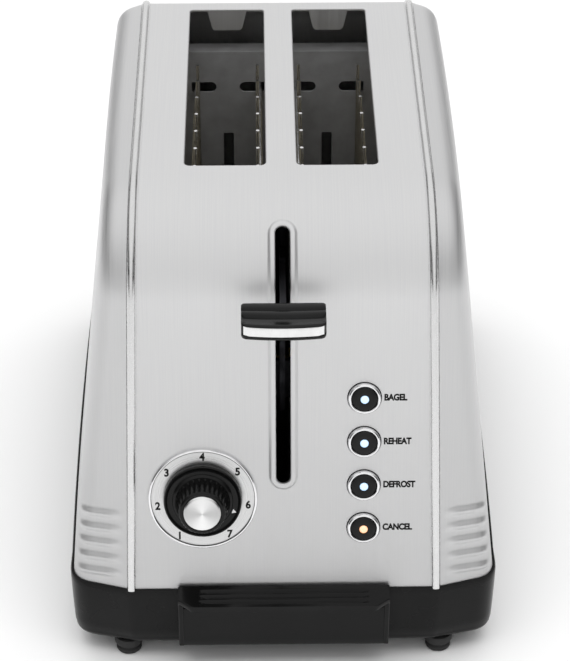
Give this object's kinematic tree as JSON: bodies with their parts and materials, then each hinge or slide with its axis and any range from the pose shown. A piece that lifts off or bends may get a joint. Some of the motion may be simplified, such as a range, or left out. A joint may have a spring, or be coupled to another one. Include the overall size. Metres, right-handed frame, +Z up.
{
  "type": "pop up toaster",
  "caption": "Two-slot pop-up toaster with a brushed steel shell, black moulded base, sprung lever, browning dial, push buttons and a pull-out crumb tray.",
  "frame": {"origin": "on the ground, midway along and across the toaster", "axes": "+Z up; the lever, dial and buttons face -Y; +X is to the right when facing the controls"},
  "size_m": [0.197, 0.3048, 0.2135],
  "materials": {
    "cabinet_steel": "fine brushed stainless sheet with bright rolled beads",
    "black_moulding": "glossy black moulding",
    "rubber_foot": "matte black rubber",
    "plated_steel": "plain plated sheet and bar",
    "guard_wire": "bright drawn wire",
    "mica_sheet": "pale mica with faint flakes",
    "heating_ribbon": "heat-dulled resistance ribbon",
    "brass_bush": "turned brass",
    "spring_steel": "drawn spring wire",
    "copper_coil": "lacquered copper winding",
    "bright_trim": "polished bright trim",
    "silver_cap": "spun satin cap",
    "scale_plate": "brushed plate with printed numbers",
    "bright_shaft": "ground steel",
    "button_black": "satin black",
    "lens_blue": "pale blue lens, unlit",
    "lens_orange": "orange lens",
    "inner_plastic": "heat-proof black plastic",
    "circuit_board": "green lacquered board"
  },
  "bodies": {
    "cabinet": {"base_moulding": "black_moulding", "base_screws": "plated_steel", "button_frame": "inner_plastic", "cabinet_wrap": "cabinet_steel", "control_board": "circuit_board", "cord_gland": "inner_plastic", "dial_bezel": "bright_trim", "dial_scale": "scale_plate", "dial_switch": "inner_plastic", "end_plate_front": "plated_steel", "end_plate_rear": "plated_steel", "foot_front_left": "rubber_foot", "foot_front_right": "rubber_foot", "foot_rear_left": "rubber_foot", "foot_rear_right": "rubber_foot", "guide_rod": "plated_steel", "heat_liner_left": "plated_steel", "heat_liner_right": "plated_steel", "heater_board_centre": "mica_sheet", "heater_board_left": "mica_sheet", "heater_board_right": "mica_sheet", "heater_wire_centre": "heating_ribbon", "heater_wire_left": "heating_ribbon", "heater_wire_right": "heating_ribbon", "lift_spring": "spring_steel", "magnet_coil": "copper_coil", "magnet_core": "plated_steel", "side_panel_left": "cabinet_steel", "side_panel_right": "cabinet_steel", "tact_switches": "inner_plastic", "terminal_block": "inner_plastic"},
    "carriage": {"lever_handle": "black_moulding", "lever_trim": "bright_trim", "lever_arm": "plated_steel", "carriage_bracket": "plated_steel", "carriage_bush": "brass_bush", "latch_plate": "plated_steel", "bread_rack_left": "plated_steel", "bread_rack_right": "plated_steel"},
    "dial": {"dial_knob": "black_moulding", "dial_cap": "silver_cap", "dial_shaft": "bright_shaft"},
    "tray": {"crumb_tray": "plated_steel", "tray_front": "black_moulding"},
    "button_cancel_push": {"button_cancel": "button_black", "ring_cancel": "bright_trim", "lens_cancel": "lens_orange"},
    "button_defrost_push": {"button_defrost": "button_black", "ring_defrost": "bright_trim", "lens_defrost": "lens_blue"},
    "button_reheat_push": {"button_reheat": "button_black", "ring_reheat": "bright_trim", "lens_reheat": "lens_blue"},
    "button_bagel_push": {"button_bagel": "button_black", "ring_bagel": "bright_trim", "lens_bagel": "lens_blue"},
    "guard_left_outer": {"bread_guard_left_outer": "guard_wire"},
    "guard_left_inner": {"bread_guard_left_inner": "guard_wire"},
    "guard_right_outer": {"bread_guard_right_outer": "guard_wire"},
    "guard_right_inner": {"bread_guard_right_inner": "guard_wire"}
  },
  "joints": [
    {"name": "lever_slide", "type": "slide", "parent": "cabinet", "child": "carriage", "axis": [0, 0, 1], "range_m": [-0.072, 0.014], "stiffness_N_per_m": 130, "springref_m": 0.0075, "deforming": ["lift_spring"]},
    {"name": "dial_turn", "type": "hinge", "parent": "cabinet", "child": "dial", "pos_m": [-0.0352, -0.13203, 0.085], "axis": [0, -0.9781, 0.2079], "range_deg": [-36, 260]},
    {"name": "tray_slide", "type": "slide", "parent": "cabinet", "child": "tray", "axis": [0, -1, 0], "range_m": [0, 0.27]},
    {"name": "cancel_press", "type": "slide", "parent": "cabinet", "child": "button_cancel_push", "axis": [0, 0.9781, -0.2079], "range_m": [0, 0.0015], "stiffness_N_per_m": 600, "springref_m": -0.001},
    {"name": "defrost_press", "type": "slide", "parent": "cabinet", "child": "button_defrost_push", "axis": [0, 0.9781, -0.2079], "range_m": [0, 0.0015], "stiffness_N_per_m": 600, "springref_m": -0.001},
    {"name": "reheat_press", "type": "slide", "parent": "cabinet", "child": "button_reheat_push", "axis": [0, 0.9781, -0.2079], "range_m": [0, 0.0015], "stiffness_N_per_m": 600, "springref_m": -0.001},
    {"name": "bagel_press", "type": "slide", "parent": "cabinet", "child": "button_bagel_push", "axis": [0, 0.9781, -0.2079], "range_m": [0, 0.0015], "stiffness_N_per_m": 600, "springref_m": -0.001},
    {"name": "guard_left_outer_close", "type": "slide", "parent": "cabinet", "child": "guard_left_outer", "axis": [1, 0, 0], "range_m": [-0.001, 0.004]},
    {"name": "guard_left_inner_close", "type": "slide", "parent": "cabinet", "child": "guard_left_inner", "axis": [-1, 0, 0], "range_m": [-0.001, 0.004]},
    {"name": "guard_right_outer_close", "type": "slide", "parent": "cabinet", "child": "guard_right_outer", "axis": [-1, 0, 0], "range_m": [-0.001, 0.004]},
    {"name": "guard_right_inner_close", "type": "slide", "parent": "cabinet", "child": "guard_right_inner", "axis": [1, 0, 0], "range_m": [-0.001, 0.004]}
  ],
  "couplings": [
    {"joint": "guard_left_outer_close", "follows": "lever_slide", "ratio": -0.055},
    {"joint": "guard_left_inner_close", "follows": "lever_slide", "ratio": -0.055},
    {"joint": "guard_right_outer_close", "follows": "lever_slide", "ratio": -0.055},
    {"joint": "guard_right_inner_close", "follows": "lever_slide", "ratio": -0.055}
  ]
}
